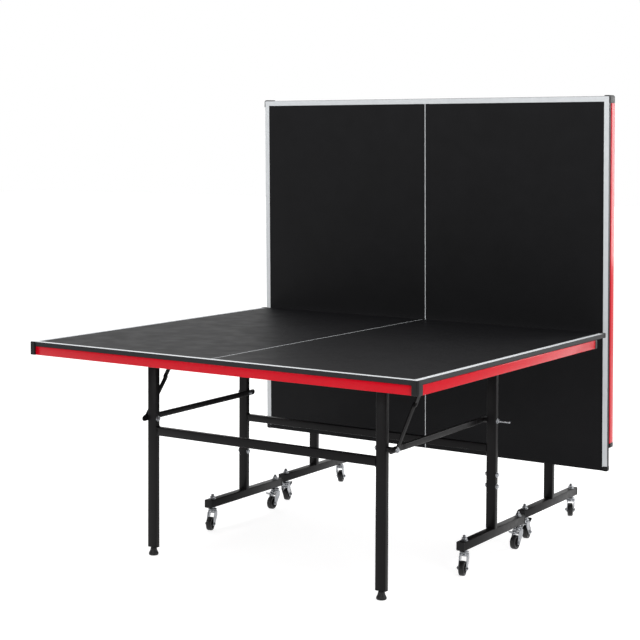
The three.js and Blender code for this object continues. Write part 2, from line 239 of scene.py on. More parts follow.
def piece(name, bm, finishes, body, place, replaces=(), crease=35):
    """Turns a bmesh into a finished object: placed, shaded smooth between creases, and riding."""
    mesh = bpy.data.meshes.new(name)
    bm.to_mesh(mesh)
    bm.free()
    mesh.transform(place)
    for polygon in mesh.polygons:
        polygon.use_smooth = True
    mesh.set_sharp_from_angle(angle=math.radians(crease))
    for finish in finishes:
        mesh.materials.append(finish)
    obj = bpy.data.objects.new(name, mesh)
    bpy.context.scene.collection.objects.link(obj)
    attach(obj, body)
    if replaces:
        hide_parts(*replaces)
    return obj


print("mesh helpers ready")

# %% [markdown]
# ## The camera
# A long table is seen from well back through a long lens, so that the far half does not shrink. The
# camera stands to the right of the lowered half, a little above head height
# of a seated person, and looks almost level. The frame is shifted down instead of tilting the lens,
# which keeps the legs and the upright top vertical.

# %% Camera
CAMERA_FROM_NET = Vector((2.923, -5.150, 1.4335))
HEADING, DIP, ROLL = math.radians(33.48), math.radians(2.41), math.radians(0.27)
ahead = Vector((-math.sin(HEADING) * math.cos(DIP), math.cos(HEADING) * math.cos(DIP), -math.sin(DIP)))
level = Vector((math.cos(HEADING), math.sin(HEADING), 0))
upward = level.cross(ahead)
right = level * math.cos(ROLL) + upward * math.sin(ROLL)
above = upward * math.cos(ROLL) - level * math.sin(ROLL)

lens = bpy.data.cameras.new("camera")
lens.sensor_width = 36
lens.lens = 85.47
lens.shift_y = -0.1718
camera = bpy.data.objects.new("camera", lens)
bpy.context.scene.collection.objects.link(camera)
turn = Matrix((right, above, -ahead)).transposed().to_4x4()
camera.matrix_world = Matrix.Translation(CAMERA_FROM_NET + Vector((0, NET_Y, 0))) @ turn
bpy.context.scene.camera = camera
print("camera at", camera.location)

# %% [markdown]
# ## Floor and light
# The set is a pale sweep under large soft lights. The sweep also glows: this is painted light that
# fills the shadow under the table and grows further out, so the far floor is as white as the near.
# A bright world stands for the white studio walls: it is what the satin tops and the gloss of the red
# rails reflect. A broad light from the front right makes the long side brighter than the end.

# %% Floor, world and lights
def srgb(hex_code):
    """An sRGB hex colour as the linear values that nodes expect."""
    channels = [int(hex_code[i:i + 2], 16) / 255 for i in (1, 3, 5)]
    return tuple(c / 12.92 if c <= 0.04045 else ((c + 0.055) / 1.055) ** 2.4 for c in channels) + (1.0,)


def add_node(tree, kind, inputs=None, **settings):
    """Adds a node with its settings. An input is given a value or linked from a socket."""
    node = tree.nodes.new(kind)
    for key, value in settings.items():
        setattr(node, key, value)
    for key, value in (inputs or {}).items():
        if isinstance(value, bpy.types.NodeSocket):
            tree.links.new(value, node.inputs[key])
        else:
            node.inputs[key].default_value = value
    return node


def surface(name, **values):
    """A new material with its shader and object coordinates. Values go on the shader's sockets."""
    material = bpy.data.materials.new(name)
    material.use_nodes = True
    tree = material.node_tree
    tree.nodes.clear()
    shader = add_node(tree, "ShaderNodeBsdfPrincipled", {k.replace("_", " "): v for k, v in values.items()})
    add_node(tree, "ShaderNodeOutputMaterial", {"Surface": shader.outputs["BSDF"]})
    where = add_node(tree, "ShaderNodeTexCoord").outputs["Object"]
    return material, tree, shader, where


def studio_floor():
    material, tree, shader, where = surface("glowing_white_sweep", Roughness=0.9)
    # Painted light: the floor glows, more strongly further from the table, to fill its shadows and keep the
    # far floor white.
    shader.inputs["Emission Color"].default_value = (1.0, 1.0, 1.0, 1.0)
    away = add_node(tree, "ShaderNodeVectorMath", {0: where}, operation="LENGTH").outputs["Value"]
    fill = add_node(tree, "ShaderNodeMapRange", {"Value": away, "From Min": 2.0, "From Max": 9.0,
                                                 "To Min": 0.8, "To Max": 0.92})
    tree.links.new(fill.outputs["Result"], shader.inputs["Emission Strength"])
    shade = add_node(tree, "ShaderNodeTexNoise", {"Vector": where, "Scale": 0.8, "Detail": 2.0})
    tint = add_node(tree, "ShaderNodeMapRange",
                    {"Value": shade.outputs["Fac"], "To Min": 0.50, "To Max": 0.52})
    tree.links.new(tint.outputs["Result"], shader.inputs["Base Color"])
    bm = bmesh.new()
    bmesh.ops.create_grid(bm, x_segments=1, y_segments=1, size=30)
    mesh = bpy.data.meshes.new("floor")
    bm.to_mesh(mesh)
    bm.free()
    mesh.materials.append(material)
    floor = bpy.data.objects.new("floor", mesh)
    bpy.context.scene.collection.objects.link(floor)


def soft_light(name, place, target, size, power):
    data = bpy.data.lights.new(name, "AREA")
    data.shape = "RECTANGLE"
    data.size, data.size_y = size
    data.energy = power
    light = bpy.data.objects.new(name, data)
    bpy.context.scene.collection.objects.link(light)
    light.location = place
    light.rotation_mode = "QUATERNION"
    light.rotation_quaternion = (Vector(target) - Vector(place)).to_track_quat("-Z", "Y")
    return light


def studio_world():
    """White all round to look at. As a light it is white behind the table and dim on the near side."""
    world = bpy.data.worlds.new("white_studio")
    world.use_nodes = True
    tree = world.node_tree
    tree.nodes.clear()
    direction = add_node(tree, "ShaderNodeTexCoord").outputs["Generated"]
    parts = add_node(tree, "ShaderNodeSeparateXYZ", {"Vector": direction})
    depth = add_node(tree, "ShaderNodeMapRange", {"Value": parts.outputs["Y"], "From Min": -0.25,
                                                  "From Max": 0.45, "To Min": 0.16, "To Max": 1.0})
    seen = add_node(tree, "ShaderNodeLightPath").outputs["Is Camera Ray"]
    strength = add_node(tree, "ShaderNodeMath", {0: depth.outputs["Result"], 1: seen}, operation="MAXIMUM")
    light = add_node(tree, "ShaderNodeBackground", {"Strength": strength.outputs[0]})
    light.inputs["Color"].default_value = (1.0, 1.0, 1.0, 1.0)
    add_node(tree, "ShaderNodeOutputWorld", {"Surface": light.outputs[0]})
    bpy.context.scene.world = world


studio_floor()
studio_world()
bpy.context.scene.view_settings.view_transform = "Standard"
soft_light("front_right_softbox", (5.5, -3.2, 2.6), (0.3, -0.4, 0.6), (3.2, 3.2), 150)
soft_light("front_left_softbox", (-3.0, -6.0, 2.6), (0, -0.4, 0.6), (3.2, 3.2), 110)
soft_light("overhead_softbox", (0, -0.2, 4.6), (0, -0.2, 0), (6.0, 6.0), 210)
soft_light("back_right_softbox", (2.1, 3.3, 1.9), (0.76, 0.3, 1.4), (1.4, 2.2), 46)

# %% [markdown]
# ## Finishes
# Nine finishes cover the table. Each starts from the real material and how its surface was made.
# Patterns are sized in millimetres: `per(size)` turns a feature size into a noise scale.

# %% Finishes of the board: lacquer, line paint, edge band and backing
def per(size_mm):
    """Noise scale, in features per metre, for features of this size."""
    return 1.0 / (size_mm * MM)


def speckle(tree, where, size_mm, detail=3.0):
    return add_node(tree, "ShaderNodeTexNoise",
                    {"Vector": where, "Scale": per(size_mm), "Detail": detail}).outputs["Fac"]


def spread(tree, value, low, high):
    return add_node(tree, "ShaderNodeMapRange",
                    {"Value": value, "From Min": 0.3, "From Max": 0.7, "To Min": low, "To Max": high},
                    ).outputs["Result"]


def tinted(tree, factor, first, second):
    mix = add_node(tree, "ShaderNodeMix", {"Factor": factor}, data_type="RGBA")
    mix.inputs[6].default_value = srgb(first)
    mix.inputs[7].default_value = srgb(second)
    return mix.outputs[2]


def bumped(tree, shader, height, distance_mm, strength=1.0):
    bump = add_node(tree, "ShaderNodeBump",
                    {"Height": height, "Distance": distance_mm * MM, "Strength": strength})
    tree.links.new(bump.outputs["Normal"], shader.inputs["Normal"])


def coated(name, clouds, wear, grain, **values):
    """A finish whose colour, roughness and relief each follow a noise of their own size.

    clouds is (size in mm, detail, first colour, second colour), wear is (size in mm, least roughness,
    most roughness) and grain is (size in mm, detail, height in mm).
    """
    material, tree, shader, where = surface(name, **values)
    size, detail, first, second = clouds
    colour = tinted(tree, speckle(tree, where, size, detail), first, second)
    tree.links.new(colour, shader.inputs["Base Color"])
    size, low, high = wear
    tree.links.new(spread(tree, speckle(tree, where, size), low, high), shader.inputs["Roughness"])
    size, detail, height = grain
    bumped(tree, shader, speckle(tree, where, size, detail), height)
    return material


def edge_band():
    """Black PVC edge band, extruded, ironed on round the board: fine lines run along it."""
    material, tree, shader, where = surface("extruded_black_edge_band", IOR=1.5, Specular_IOR_Level=0.15)
    colour = tinted(tree, speckle(tree, where, 20), "#1A1A1C", "#222224")
    tree.links.new(colour, shader.inputs["Base Color"])
    flat = add_node(tree, "ShaderNodeMapping", {"Vector": where, "Scale": (1.0, 1.0, 20.0)})
    lines = speckle(tree, flat.outputs["Vector"], 12)
    tree.links.new(spread(tree, lines, 0.38, 0.5), shader.inputs["Roughness"])
    bumped(tree, shader, lines, 0.02)
    return material


def board_backing():
    """The underside: resin-sealed chipboard sprayed black, whose chips still show in the sealer."""
    material, tree, shader, where = surface("black_sealed_chipboard", IOR=1.5)
    chips = add_node(tree, "ShaderNodeTexVoronoi", {"Vector": where, "Scale": per(5)})
    tree.links.new(tinted(tree, speckle(tree, where, 6), "#1B1B1C", "#29292A"), shader.inputs["Base Color"])
    tree.links.new(spread(tree, speckle(tree, where, 9), 0.55, 0.75), shader.inputs["Roughness"])
    bumped(tree, shader, chips.outputs["Distance"], 0.12, 0.5)
    return material


# Satin polyurethane lacquer, rolled on: an even charcoal with a fine stipple that blurs reflections.
LACQUER = coated("satin_charcoal_lacquer", (180, 4.0, "#111112", "#161618"), (60, 0.48, 0.56),
                 (1.6, 2.0, 0.03), IOR=1.4, Specular_IOR_Level=0.115)
# Screen-printed white line paint: matte, slightly uneven, with the lacquer's stipple under it.
LINE = coated("screen_printed_line_white", (25, 3.0, "#BEC1C4", "#C9CCCE"), (8, 0.45, 0.58),
              (1.6, 2.0, 0.02), IOR=1.5)
BAND, BACKING = edge_band(), board_backing()
print("board finishes:", LACQUER.name, LINE.name, BAND.name, BACKING.name)

# %% Finishes of metal, plastic and rubber
# Powder coat on steel: baked paint with a slight orange peel, a millimetre or two across.
RED = coated("red_powder_coat", (40, 3.0, "#B20218", "#BC061B"), (15, 0.14, 0.2), (2.2, 2.0, 0.02),
             IOR=1.5, Specular_IOR_Level=0.14)
BLACK = coated("black_powder_coat", (40, 3.0, "#0F0E0F", "#141314"), (15, 0.3, 0.4), (2.2, 2.0, 0.02),
               IOR=1.5, Specular_IOR_Level=0.1)
# Zinc electroplate on pressed steel: a cool metal, clouded where the bath ran.
ZINC = coated("bright_zinc_plate", (14, 3.0, "#7E8084", "#A9ABAE"), (5, 0.2, 0.38), (3, 3.0, 0.03),
              Metallic=1.0)
# Black polypropylene, injection moulded in a spark-eroded mould, so it has a fine matte grain.
PLASTIC = coated("moulded_black_polypropylene", (12, 3.0, "#121213", "#19191A"), (4, 0.35, 0.5),
                 (0.9, 1.0, 0.03), IOR=1.49, Specular_IOR_Level=0.16)
# Black moulded rubber: the tread is a little dusty, so it is greyer and rougher in patches.
RUBBER = coated("moulded_black_rubber", (7, 3.0, "#0B0B0C", "#141415"), (5, 0.35, 0.55),
                (1.2, 3.0, 0.03), IOR=1.52, Specular_IOR_Level=0.3)
PLAIN, DARK = 0, 1  # the slots of a piece made of zinc and black
print("frame finishes:", RED.name, BLACK.name, ZINC.name, PLASTIC.name, RUBBER.name)

# %% [markdown]
# ## The playing boards
# A board is one slab, but its markings are printed, so the top is split into strips that carry the
# line paint: 20 mm along the end and the sides, 3 mm down the middle. The side lines stop short of
# the net edge, where a small moulding guards the corner. Real lines are flush with the lacquer, which
# is why they are faces of the board here and not ribbons laid on it.

# %% Boards
BOARD_LOW, BOARD_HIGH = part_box("front_board")
HALF_WIDTH = BOARD_HIGH.x
LENGTH = BOARD_HIGH.y - BOARD_LOW.y
BOARD_TOP, UNDERSIDE = BOARD_HIGH.z, BOARD_LOW.z
LINE_WIDTH, CENTRE_LINE, NET_GUARD = 20 * MM, 3 * MM, 15 * MM


def board_mesh():
    xs = [-HALF_WIDTH, -HALF_WIDTH + LINE_WIDTH, -CENTRE_LINE / 2]
    xs += [-x for x in reversed(xs)]
    ys = [-LENGTH, -LENGTH + LINE_WIDTH, -NET_GUARD, 0.0]
    bm = bmesh.new()
    grid = {}
    for i, x in enumerate(xs):
        for j, y in enumerate(ys):
            for k, z in enumerate((UNDERSIDE, BOARD_TOP)):
                grid[i, j, k] = bm.verts.new((x, y, z))
    last_i, last_j = len(xs) - 1, len(ys) - 1
    for i in range(last_i):
        for j in range(last_j):
            side_line = i in (0, last_i - 1) and j < last_j - 1
            lined = side_line or j == 0 or i == 2
            corners = ((i, j), (i + 1, j), (i + 1, j + 1), (i, j + 1))
            bm.faces.new([grid[a, b, 1] for a, b in corners]).material_index = 1 if lined else 0
            bm.faces.new([grid[a, b, 0] for a, b in reversed(corners)]).material_index = 3
    rim = [(i, 0) for i in range(last_i)] + [(last_i, j) for j in range(last_j)]
    rim += [(i, last_j) for i in range(last_i, 0, -1)] + [(0, j) for j in range(last_j, 0, -1)]
    for n, here in enumerate(rim):
        there = rim[(n + 1) % len(rim)]
        face = bm.faces.new((grid[(*here, 0)], grid[(*there, 0)], grid[(*there, 1)], grid[(*here, 1)]))
        face.material_index = 2
    bmesh.ops.recalc_face_normals(bm, faces=bm.faces)
    edges = [edge for edge in bm.edges if edge.calc_face_angle() > 1]
    bmesh.ops.bevel(bm, geom=edges, offset=0.9 * MM, segments=2, affect="EDGES", material=2)
    return bm


for half in HALVES:
    piece(f"{half}_playing_board", board_mesh(), [LACQUER, LINE, BAND, BACKING], f"{half}_top",
          standing(half, "top"), [f"{half}_board"])
print("two boards,", round(LENGTH, 3), "m by", round(2 * HALF_WIDTH, 3), "m")

# %% [markdown]
# ## Sizes of the undercarriage
# The flat parts at each side stand in a fixed order out from the leg: link, lower stay, upper stay,
# then the post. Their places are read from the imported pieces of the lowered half, and the knuckle of
# the stay is worked out as its maker would: straight in play, doubled back when the top is folded.

# %% Side layout
LEG_WIDE, POST_WIDE, TUBE_DEEP, TUBE_ROUND = 38 * MM, 36 * MM, 20 * MM, 2.6 * MM
LEG_BOTTOM, TUBE_END = 28 * MM, 12 * MM
LEG_BAR, POST_BAR = (424 * MM, 454 * MM), (380 * MM, 406 * MM)
FOOT_LOW, FOOT_HIGH = 84 * MM, 114 * MM
BAR_ENDS = tuple(corner.y - NET_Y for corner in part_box("front_left_foot_bar"))
CASTER_Y = {"end": BAR_ENDS[0] + 30 * MM, "net": BAR_ENDS[1] - 30 * MM}
X_AXIS, Y_AXIS, Z_AXIS = Vector((1, 0, 0)), Vector((0, 1, 0)), Vector((0, 0, 1))


def reach(node):
    """How far from the middle of the table a side piece starts and ends."""
    low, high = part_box(node)
    return tuple(sorted((abs(low.x), abs(high.x))))


def side_layout(side):
    post = abs(POST_X[side])
    return {
        "sign": SIDES[side],
        "post": (post - POST_WIDE / 2, post + POST_WIDE / 2),
        "leg": (abs(LEG_X[side]) - LEG_WIDE / 2, abs(LEG_X[side]) + LEG_WIDE / 2),
        "link": reach(f"front_{side}_link"),
        "lower_stay": reach(f"front_{side}_lower_stay"),
        "upper_stay": reach(f"front_{side}_upper_stay"),
    }


LAYOUT = {side: side_layout(side) for side in SIDES}
folded_leg_pin = about(LEG_PIVOT, -FOLD) @ LINK_AT_LEG
open_reach = (LINK_AT_LEG - STAY_AT_TOP).length
folded_reach = (folded_leg_pin - STAY_AT_TOP).length
KNUCKLE = LINK_AT_LEG.lerp(STAY_AT_TOP, (open_reach + folded_reach) / 2 / open_reach)
print("knuckle", KNUCKLE, "left side", LAYOUT["left"])

# %% [markdown]
# ## Bolts, nuts and threads
# A hex fixing is a washer, a six-sided head with its corners turned off, and the tip of the bolt. The
# repeated ones are made by Geometry Nodes: a line of points carries one fixing each. Only the
# long bolt and the caster stems show enough thread to be worth cutting, as a real helix.

# %% Hex fixings in bmesh, and a cut thread
def softened(corners, steps=4):
    """A closed outline with an arc at each corner. Corners are (x, y, radius)."""
    outline = []
    for n, (x, y, radius) in enumerate(corners):
        here = Vector((x, y))
        before = (Vector(corners[n - 1][:2]) - here).normalized()
        after = (Vector(corners[(n + 1) % len(corners)][:2]) - here).normalized()
        half = before.angle(after) / 2
        centre = here + (before + after).normalized() * radius / math.sin(half)
        first = here + before * radius / math.tan(half) - centre
        last = here + after * radius / math.tan(half) - centre
        start = math.atan2(first.y, first.x)
        sweep = (math.atan2(last.y, last.x) - start + math.pi) % (2 * math.pi) - math.pi
        for i in range(steps + 1):
            angle = start + sweep * i / steps
            outline.append((centre.x + radius * math.cos(angle), centre.y + radius * math.sin(angle)))
    return outline


def facing(point, direction):
    """Places a shape turned about Z so that it points in direction."""
    rotation = Vector(direction).to_track_quat("Z", "Y").to_matrix().to_4x4()
    return Matrix.Translation(point) @ rotation


def hex_nut(bm, place, radius, height, material=0, washer=1.5 * MM, tip=2 * MM):
    wide = radius * 1.3
    turned(bm, [(0, 0), (wide, 0), (wide, washer * 0.7), (wide * 0.96, washer), (0, washer)],
           place, 24, material)
    turned(bm, [(0, washer), (radius * 0.95, washer), (radius, washer + height * 0.15),
                (radius, washer + height * 0.8), (radius * 0.86, washer + height), (0, washer + height)],
           place, 6, material)
    shank = radius * 0.55
    if tip:
        turned(bm, [(0, washer + height), (shank, washer + height), (shank, washer + height + tip * 0.7),
                    (shank * 0.8, washer + height + tip), (0, washer + height + tip)], place, 16, material)


def rivet(bm, place, radius, height, material=0):
    turned(bm, [(0, 0), (radius, 0), (radius * 0.92, height * 0.45), (radius * 0.6, height * 0.85),
                (0, height)], place, 20, material)


def threaded(bm, place, radius, length, pitch, depth, steps=16, material=0):
    """A rod with a cut thread: the groove moves up by one pitch for each turn."""
    levels = int(length / pitch * 4)
    rings = []
    for level in range(levels + 1):
        height = length * level / levels
        ring = []
        for i in range(steps):
            phase = (height / pitch - i / steps) % 1.0
            groove = depth * (1 - abs(2 * phase - 1))
            taper = 0.7 * MM * max(0, level - levels + 2)
            angle = 2 * math.pi * i / steps
            r = radius - groove - taper
            ring.append(place @ Vector((r * math.cos(angle), r * math.sin(angle), height)))
        rings.append(ring)
    loft(bm, rings, material)


print("fixings ready")

# %% A row of hex bolts by Geometry Nodes
def bolt_row_tree():
    """Points from Start to End, each carrying a washer, a hex head and the bolt's tip."""
    tree = bpy.data.node_groups.new("hex_bolt_row", "GeometryNodeTree")
    for label, kind in (("Count", "Int"), ("Start", "Vector"), ("End", "Vector"), ("Turn", "Vector"),
                        ("Head Radius", "Float"), ("Head Height", "Float"), ("Finish", "Material")):
        tree.interface.new_socket(label, in_out="INPUT", socket_type=f"NodeSocket{kind}")
    tree.interface.new_socket("Geometry", in_out="OUTPUT", socket_type="NodeSocketGeometry")
    given = add_node(tree, "NodeGroupInput").outputs

    def times(value, factor):
        return add_node(tree, "ShaderNodeMath", {0: value, 1: factor}, operation="MULTIPLY").outputs[0]

    def drum(sides, radius, depth, height):
        """A cylinder of so many sides whose middle is at height."""
        made = add_node(tree, "GeometryNodeMeshCylinder",
                        {"Vertices": sides, "Radius": radius, "Depth": depth})
        lift = add_node(tree, "ShaderNodeCombineXYZ", {"Z": height})
        return add_node(tree, "GeometryNodeTransform",
                        {"Geometry": made.outputs["Mesh"], "Translation": lift.outputs[0]}).outputs[0]

    radius, height = given["Head Radius"], given["Head Height"]
    washer = drum(20, times(radius, 1.35), times(height, 0.25), times(height, 0.125))
    head = drum(6, radius, height, times(height, 0.75))
    shoulder = add_node(tree, "GeometryNodeMeshCone", {
        "Vertices": 16, "Radius Top": times(radius, 0.4), "Radius Bottom": times(radius, 0.6),
        "Depth": times(height, 0.3)})
    lift = add_node(tree, "ShaderNodeCombineXYZ", {"Z": times(height, 1.24)})
    tip = add_node(tree, "GeometryNodeTransform", {"Geometry": shoulder.outputs["Mesh"],
                                                   "Translation": lift.outputs[0]}).outputs[0]
    whole = add_node(tree, "GeometryNodeJoinGeometry")
    for part in (tip, head, washer):
        tree.links.new(part, whole.inputs[0])
    line = add_node(tree, "GeometryNodeMeshLine", {
        "Count": given["Count"], "Start Location": given["Start"], "Offset": given["End"]}, mode="END_POINTS")
    placed = add_node(tree, "GeometryNodeInstanceOnPoints", {
        "Points": line.outputs["Mesh"], "Instance": whole.outputs[0], "Rotation": given["Turn"]})
    real = add_node(tree, "GeometryNodeRealizeInstances", {"Geometry": placed.outputs["Instances"]})
    painted = add_node(tree, "GeometryNodeSetMaterial", {"Geometry": real.outputs[0],
                                                         "Material": given["Finish"]})
    add_node(tree, "NodeGroupOutput", {"Geometry": painted.outputs[0]})
    return tree


BOLT_ROW = bolt_row_tree()
BOLT_SOCKETS = {item.name: item.identifier for item in BOLT_ROW.interface.items_tree
                if item.in_out == "INPUT"}


def add_bolt_row(bm, **values):
    """Runs the tree once with these inputs and adds what it makes to bm."""
    holder = bpy.data.objects.new("bolt_row", bpy.data.meshes.new("bolt_row"))
    bpy.context.scene.collection.objects.link(holder)
    modifier = holder.modifiers.new("bolts", "NODES")
    modifier.node_group = BOLT_ROW
    for label, value in values.items():
        modifier[BOLT_SOCKETS[label.replace("_", " ")]] = value
    modifier[BOLT_SOCKETS["Finish"]] = ZINC
    holder.update_tag()
    evaluated = holder.evaluated_get(bpy.context.evaluated_depsgraph_get())
    made = bpy.data.meshes.new_from_object(evaluated)
    for polygon in made.polygons:
        polygon.material_index = PLAIN
    bm.from_mesh(made)
    bpy.data.objects.remove(holder)
    bpy.data.meshes.remove(made)


DOWN = (math.pi, 0.0, 0.0)
OUT = {1: (0.0, math.pi / 2, 0.0), -1: (0.0, -math.pi / 2, 0.0)}
print("bolt row inputs:", list(BOLT_SOCKETS))

# %% [markdown]
# ## Red rails and corner caps
# The apron under the board is cold-rolled steel strip: a web, a shelf that is screwed up into the
# board and a short lip that stiffens the bottom. A bent strip has rounded outer corners, and it is
# those that catch the long highlights, so the section carries real arcs. Moulded caps close the
# open ends and guard the corners.

# %% Rails
RAIL_TALL, END_INSET, SIDE_INSET = 30 * MM, 2.5 * MM, -2.5 * MM
CAP_END_ARM, CAP_SIDE_ARM, CAP_PROUD, RAIL_NET_GAP = 19 * MM, 25 * MM, 3.5 * MM, 85 * MM
RAIL_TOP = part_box("front_end_rail")[1].z
RAIL_SECTION = softened([
    (x * MM, z * MM, bend * MM) for x, z, bend in (
        (0, 0, 1.6), (18, 0, 0.3), (18, -1.8, 0.3), (1.8, -1.8, 1.2),
        (1.8, -28.2, 1.2), (10, -28.2, 0.3), (10, -30, 0.3), (0, -30, 1.6))
])


def end_rail_mesh():
    bm = bmesh.new()
    half = HALF_WIDTH - CAP_END_ARM - 0.3 * MM
    y = -LENGTH + END_INSET
    bar(bm, RAIL_SECTION, (-half, y, RAIL_TOP), (half, y, RAIL_TOP), Y_AXIS)
    return bm


def side_rail_mesh(sign):
    bm = bmesh.new()
    x = sign * (HALF_WIDTH - SIDE_INSET)
    ends = [(x, -LENGTH + CAP_SIDE_ARM + 0.3 * MM, RAIL_TOP), (x, -RAIL_NET_GAP - 14 * MM, RAIL_TOP)]
    start, end = ends if sign > 0 else reversed(ends)
    bar(bm, RAIL_SECTION, start, end, -sign * X_AXIS)
    return bm


def rail_end_cap(sign):
    """The moulded sleeve over the end of a side rail, with its plug inside the steel."""
    bm = bmesh.new()
    outer, inner = HALF_WIDTH - SIDE_INSET + 0.7 * MM, HALF_WIDTH - SIDE_INSET - 18.5 * MM
    x = sorted((sign * outer, sign * inner))
    z = (RAIL_TOP - RAIL_TALL - 0.6 * MM, RAIL_TOP)
    block(bm, x, (-RAIL_NET_GAP - 17 * MM, -RAIL_NET_GAP + 1 * MM), z, 2 * MM)
    return bm


for half in HALVES:
    top, body = standing(half, "top"), f"{half}_top"
    piece(f"{half}_end_apron", end_rail_mesh(), [RED], body, top, [f"{half}_end_rail"])
    for side, sign in SIDES.items():
        piece(f"{half}_{side}_side_apron", side_rail_mesh(sign), [RED], body, top,
              [f"{half}_{side}_side_rail"])
        piece(f"{half}_{side}_apron_plug", rail_end_cap(sign), [PLASTIC], body, top)
print("aprons, rail top at", round(RAIL_TOP, 4))

# %% Corner caps: one section swept round the corner of the board
CAP_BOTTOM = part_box("front_left_corner_cap")[0].z
CORNER_ROUND = 4.5 * MM


def corner_path_point(outward, along):
    """A point at this distance outward of the board's edge. along runs -1 to 1 round the corner."""
    if abs(along) > 0.5:
        arm = CAP_SIDE_ARM if along > 0 else CAP_END_ARM
        run = (abs(along) - 0.5) * 2 * (arm - CORNER_ROUND)
        if along > 0:
            return (HALF_WIDTH + outward, -LENGTH + CORNER_ROUND + run)
        return (HALF_WIDTH - CORNER_ROUND - run, -LENGTH - outward)
    radius = CORNER_ROUND + outward
    if radius < 0:
        return (HALF_WIDTH + outward, -LENGTH - outward)
    angle = (along - 0.5) * math.pi / 2
    return (HALF_WIDTH - CORNER_ROUND + radius * math.cos(angle),
            -LENGTH + CORNER_ROUND + radius * math.sin(angle))


def corner_cap_mesh(sign):
    proud, shelf, gap = CAP_PROUD, UNDERSIDE - 0.4 * MM, 0.3 * MM
    section = softened([
        (proud, CAP_BOTTOM, 2 * MM), (proud, BOARD_TOP, 1.6 * MM), (gap, BOARD_TOP, 0.4 * MM),
        (gap, shelf, 0.2 * MM), (-8.5 * MM, shelf, 0.5 * MM), (-8.5 * MM, CAP_BOTTOM, 1 * MM)], 3)
    stations = [-1, -0.75, -0.5] + [-0.5 + i / 10 for i in range(1, 10)] + [0.5, 0.75, 1]
    bm = bmesh.new()
    rings = []
    for along in stations:
        ring = [corner_path_point(out, along) + (z,) for out, z in section]
        rings.append([(sign * x, y, z) for x, y, z in ring])
    loft(bm, rings)
    bmesh.ops.remove_doubles(bm, verts=bm.verts, dist=1e-6)
    bmesh.ops.recalc_face_normals(bm, faces=bm.faces)
    return bm


def net_guard_mesh(sign):
    """The small moulding that guards each net corner, a little proud of the lacquer."""
    bm = bmesh.new()
    size = 18 * MM
    outline = softened([(0, 0, 6 * MM), (size, 0, 2 * MM), (size, size, 2 * MM), (0, size, 2 * MM)])
    outline = [(sign * (HALF_WIDTH + 0.8 * MM - a), 0.8 * MM - b) for a, b in outline]
    bar(bm, outline, (0, 0, UNDERSIDE - 1 * MM), (0, 0, BOARD_TOP + 1 * MM),
        X_AXIS, 0.9 * MM)
    return bm


for half in HALVES:
    for side, sign in SIDES.items():
        top, body = standing(half, "top"), f"{half}_top"
        piece(f"{half}_{side}_corner_guard", corner_cap_mesh(sign), [PLASTIC], body, top,
              [f"{half}_{side}_corner_cap"])
        piece(f"{half}_{side}_net_guard", net_guard_mesh(sign), [PLASTIC], body, top)
print("corner caps from", round(CAP_BOTTOM, 4), "to", round(BOARD_TOP, 4))

# %% [markdown]
# ## Hinge rails
# Each bracket under the board is bent sheet with lugs for the post, the leg and the stay. The
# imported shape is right, so a copy of it gets its loose triangles merged and its sharp edges eased.

# %% Hinge rails
def eased_copy(node, width):
    bm = bmesh.new()
    bm.from_mesh(frame["nodes"][node].data)
    bmesh.ops.remove_doubles(bm, verts=bm.verts, dist=0.005 * MM)
    bmesh.ops.dissolve_limit(bm, angle_limit=math.radians(1), verts=bm.verts, edges=bm.edges)
    edges = [e for e in bm.edges if len(e.link_faces) == 2 and e.calc_face_angle() > math.radians(50)
             and e.calc_length() > 8 * MM]
    bmesh.ops.bevel(bm, geom=edges, offset=width, segments=1, affect="EDGES", clamp_overlap=True)
    return bm


for half in HALVES:
    for side in SIDES:
        piece(f"{half}_{side}_hinge_bracket", eased_copy(f"{half}_{side}_hinge_rail", 0.5 * MM), [BLACK],
              f"{half}_top", Matrix(), [f"{half}_{side}_hinge_rail"], crease=30)
print("hinge brackets")

# %% [markdown]
# ## Frames
# Legs and posts are rectangular steel tube, drawn through a die, so the corners are rounded and the
# faces dead flat. The crossbars are welded in, and a fillet weld has a rippled bead all round. The
# foot bars are square tube with moulded plugs in their ends.

# %% Tubes and welds
LEG_TOP, POST_TOP = LEG_PIVOT.z + TUBE_END, POST_PIVOT.z + TUBE_END


def weld(bm, outline, face, direction, across, leg=2.6 * MM):
    """A rippled fillet bead round an outline, where a tube meets the face of another."""
    face, direction, across = Vector(face), Vector(direction), Vector(across)
    second = direction.cross(across)
    around = [Vector(p) for p in outline]
    rings = []
    for travel, spread_by in ((-0.2, 1.0), (0.12, 0.95), (0.5, 0.55), (0.95, 0.1), (1.0, -0.2)):
        ring = []
        for n, p in enumerate(around):
            ripple = 1 + 0.16 * math.sin(2.4 * n)
            push = p.normalized() * leg * spread_by * (ripple if spread_by > 0.3 else 1)
            flat = p + push
            ring.append(face + direction * leg * travel + across * flat.x + second * flat.y)
        rings.append(ring)
    loft(bm, rings)


def dense(outline, spacing=2.2 * MM):
    """The outline with extra points, close enough to carry a bead's ripple."""
    points = []
    for n, a in enumerate(outline):
        a, b = Vector(a), Vector(outline[(n + 1) % len(outline)])
        parts = max(1, int((b - a).length / spacing))
        points += [a.lerp(b, i / parts) for i in range(parts)]
    return points


def upright(bm, wide, x, y, low, high):
    bar(bm, rounded_rectangle(wide, TUBE_DEEP, TUBE_ROUND), (x, y, low), (x, y, high), X_AXIS, 0.8 * MM)


def crossbar(bm, left, right_end, y, span):
    tall = span[1] - span[0]
    middle = (span[0] + span[1]) / 2
    section = rounded_rectangle(TUBE_DEEP - 0.4 * MM, tall, TUBE_ROUND)
    start, end = Vector((left, y, middle)), Vector((right_end, y, middle))
    bar(bm, section, start, end, Y_AXIS, 0.1 * MM)
    weld(bm, dense(section), start, X_AXIS, Y_AXIS)
    weld(bm, dense(section), end, -X_AXIS, Y_AXIS)


